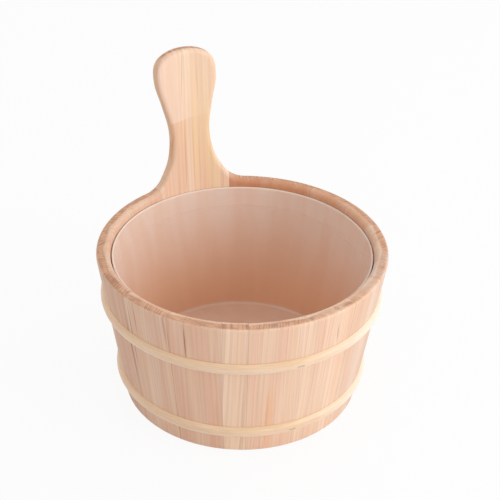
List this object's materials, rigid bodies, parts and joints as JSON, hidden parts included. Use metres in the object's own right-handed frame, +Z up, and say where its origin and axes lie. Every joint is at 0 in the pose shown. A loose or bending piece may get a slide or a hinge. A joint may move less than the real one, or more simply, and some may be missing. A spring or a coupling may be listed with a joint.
{
  "type": "wooden piggin",
  "caption": "Low tapered wooden pail built of staves, with an upright handle at the back, half-round hoops and a lift-out plastic liner.",
  "frame": {"origin": "where the pail's axis meets the floor it stands on, in the plane of the staves' feet", "axes": "+Z up along the pail's axis, +Y towards the handle at the back, +X to the right seen from the front"},
  "size_m": [0.2436, 0.2617, 0.2594],
  "materials": {
    "stave_wood": "planed and sanded softwood, bare",
    "hoop_wood": "smooth rounded strip, bare, close grain",
    "bottom_wood": "planed softwood, bare",
    "staple_wire": "dull drawn wire",
    "liner_plastic": "thin milky translucent plastic, satin"
  },
  "bodies": {
    "pail": {"handle_stave": "stave_wood", "stave_01": "stave_wood", "stave_02": "stave_wood", "stave_03": "stave_wood", "stave_04": "stave_wood", "stave_05": "stave_wood", "stave_06": "stave_wood", "stave_07": "stave_wood", "stave_08": "stave_wood", "stave_09": "stave_wood", "stave_10": "stave_wood", "stave_11": "stave_wood", "stave_12": "stave_wood", "stave_13": "stave_wood", "stave_14": "stave_wood", "stave_15": "stave_wood", "stave_16": "stave_wood", "stave_17": "stave_wood", "upper_hoop": "hoop_wood", "lower_hoop": "hoop_wood", "hoop_staples": "staple_wire", "bottom_board_left": "bottom_wood", "bottom_board_middle": "bottom_wood", "bottom_board_right": "bottom_wood"},
    "liner": {"liner": "liner_plastic"}
  },
  "joints": [
    {"name": "liner_lift", "type": "slide", "parent": "pail", "child": "liner", "axis": [0, 0, 1], "range_m": [0, 0.15]}
  ]
}
